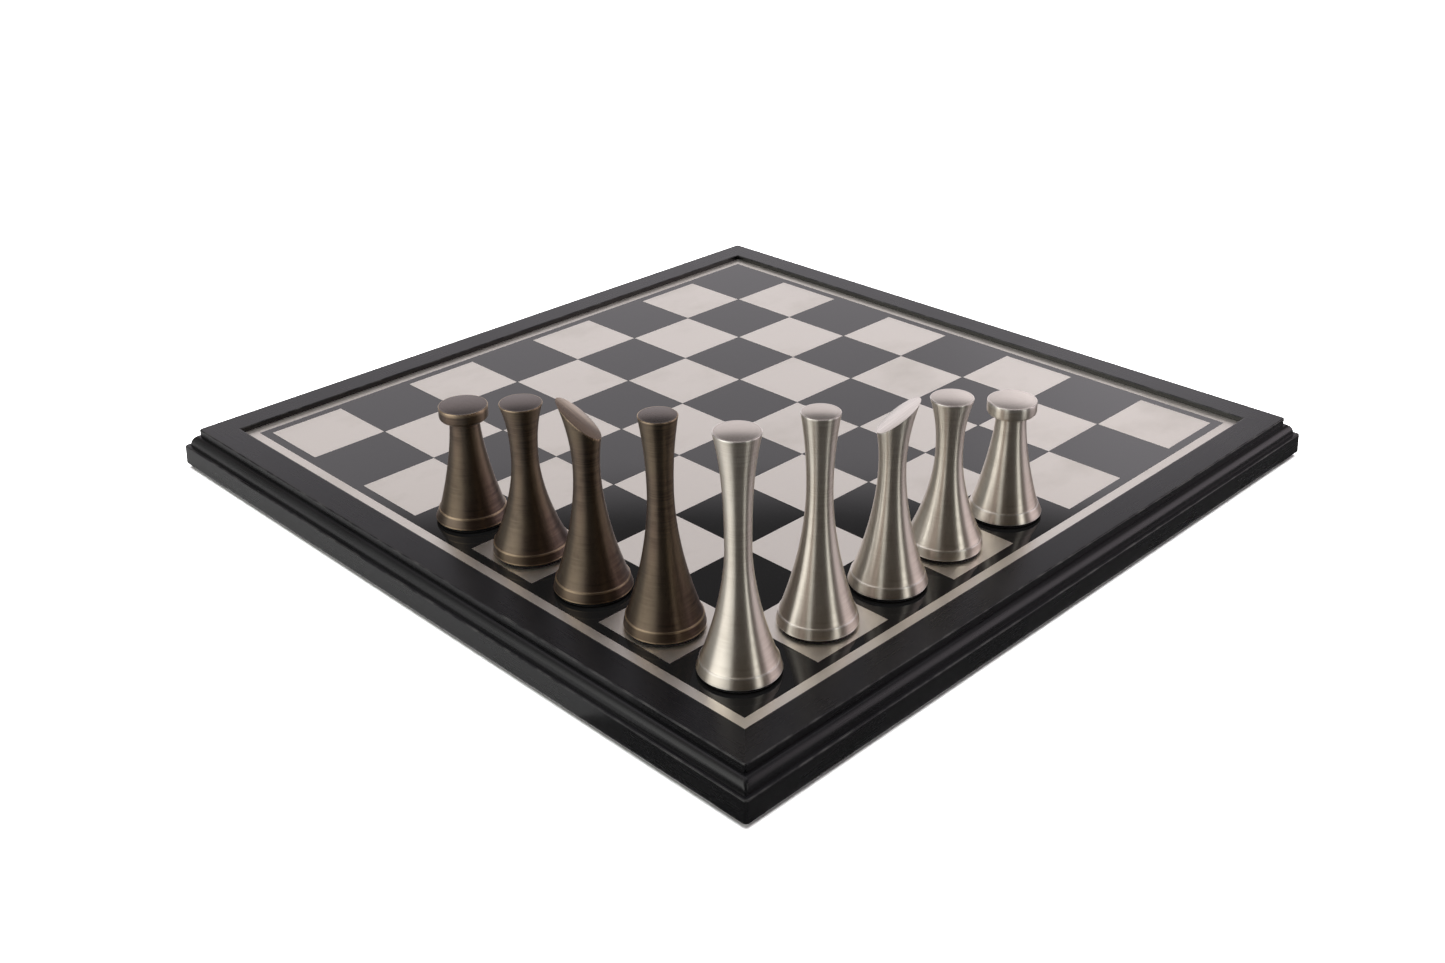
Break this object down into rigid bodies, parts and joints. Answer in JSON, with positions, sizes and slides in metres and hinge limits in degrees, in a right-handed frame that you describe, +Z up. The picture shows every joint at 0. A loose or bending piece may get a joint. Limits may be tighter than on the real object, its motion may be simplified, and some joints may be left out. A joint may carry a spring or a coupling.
{
  "type": "chess set with board",
  "caption": "Framed metal chess board with enamel squares and turned metal pieces of hourglass form standing along two edges.",
  "frame": {"origin": "on the surface the board stands on, below the centre of the board", "axes": "+Z up; +X and +Y along the board's sides; dark pieces stand along the -X edge and silver pieces along the -Y edge, with the silver king in the corner at -X -Y"},
  "size_m": [0.3594, 0.3594, 0.108],
  "materials": {
    "painted_wood": "satin black paint on moulded hardwood, softly rounded edges",
    "panel_board": "raw medium density board",
    "plywood": "raw birch plywood",
    "brushed_plate": "warm light satin metal, fine one-way brushing",
    "black_enamel": "gloss black enamel, flush with the metal squares",
    "silver_metal": "warm nickel, turned and brushed around the axis, clear satin",
    "dark_metal": "antique bronze over brass, brushed around the axis, edges rubbed bright",
    "black_felt": "short black felt",
    "black_card": "black kraft card",
    "screw_steel": "plain zinc-plated steel"
  },
  "bodies": {
    "board": {"backing_card": "black_card", "core_panel": "panel_board", "corner_key_far_left": "plywood", "corner_key_far_right": "plywood", "corner_key_near_left": "plywood", "corner_key_near_right": "plywood", "enamel_field": "black_enamel", "felt_foot_far_left": "black_felt", "felt_foot_far_right": "black_felt", "felt_foot_near_left": "black_felt", "felt_foot_near_right": "black_felt", "frame_rail_far": "painted_wood", "frame_rail_left": "painted_wood", "frame_rail_near": "painted_wood", "frame_rail_right": "painted_wood", "panel_screw_far_1": "screw_steel", "panel_screw_far_2": "screw_steel", "panel_screw_left_1": "screw_steel", "panel_screw_left_2": "screw_steel", "panel_screw_near_1": "screw_steel", "panel_screw_near_2": "screw_steel", "panel_screw_right_1": "screw_steel", "panel_screw_right_2": "screw_steel", "playing_plate": "brushed_plate"},
    "dark_rook": {"dark_rook_body": "dark_metal", "dark_rook_pad": "black_felt"},
    "dark_knight": {"dark_knight_body": "dark_metal", "dark_knight_pad": "black_felt"},
    "dark_bishop": {"dark_bishop_body": "dark_metal", "dark_bishop_pad": "black_felt"},
    "dark_queen": {"dark_queen_body": "dark_metal", "dark_queen_pad": "black_felt"},
    "silver_king": {"silver_king_body": "silver_metal", "silver_king_pad": "black_felt"},
    "silver_queen": {"silver_queen_body": "silver_metal", "silver_queen_pad": "black_felt"},
    "silver_bishop": {"silver_bishop_body": "silver_metal", "silver_bishop_pad": "black_felt"},
    "silver_knight": {"silver_knight_body": "silver_metal", "silver_knight_pad": "black_felt"},
    "silver_rook": {"silver_rook_body": "silver_metal", "silver_rook_pad": "black_felt"}
  },
  "joints": [
    {"name": "dark_rook_lift", "type": "slide", "parent": "board", "child": "dark_rook", "axis": [0, 0, 1], "range_m": [0, 0.12]},
    {"name": "dark_knight_lift", "type": "slide", "parent": "board", "child": "dark_knight", "axis": [0, 0, 1], "range_m": [0, 0.12]},
    {"name": "dark_bishop_lift", "type": "slide", "parent": "board", "child": "dark_bishop", "axis": [0, 0, 1], "range_m": [0, 0.12]},
    {"name": "dark_queen_lift", "type": "slide", "parent": "board", "child": "dark_queen", "axis": [0, 0, 1], "range_m": [0, 0.12]},
    {"name": "silver_king_lift", "type": "slide", "parent": "board", "child": "silver_king", "axis": [0, 0, 1], "range_m": [0, 0.12]},
    {"name": "silver_queen_lift", "type": "slide", "parent": "board", "child": "silver_queen", "axis": [0, 0, 1], "range_m": [0, 0.12]},
    {"name": "silver_bishop_lift", "type": "slide", "parent": "board", "child": "silver_bishop", "axis": [0, 0, 1], "range_m": [0, 0.12]},
    {"name": "silver_knight_lift", "type": "slide", "parent": "board", "child": "silver_knight", "axis": [0, 0, 1], "range_m": [0, 0.12]},
    {"name": "silver_rook_lift", "type": "slide", "parent": "board", "child": "silver_rook", "axis": [0, 0, 1], "range_m": [0, 0.12]}
  ]
}
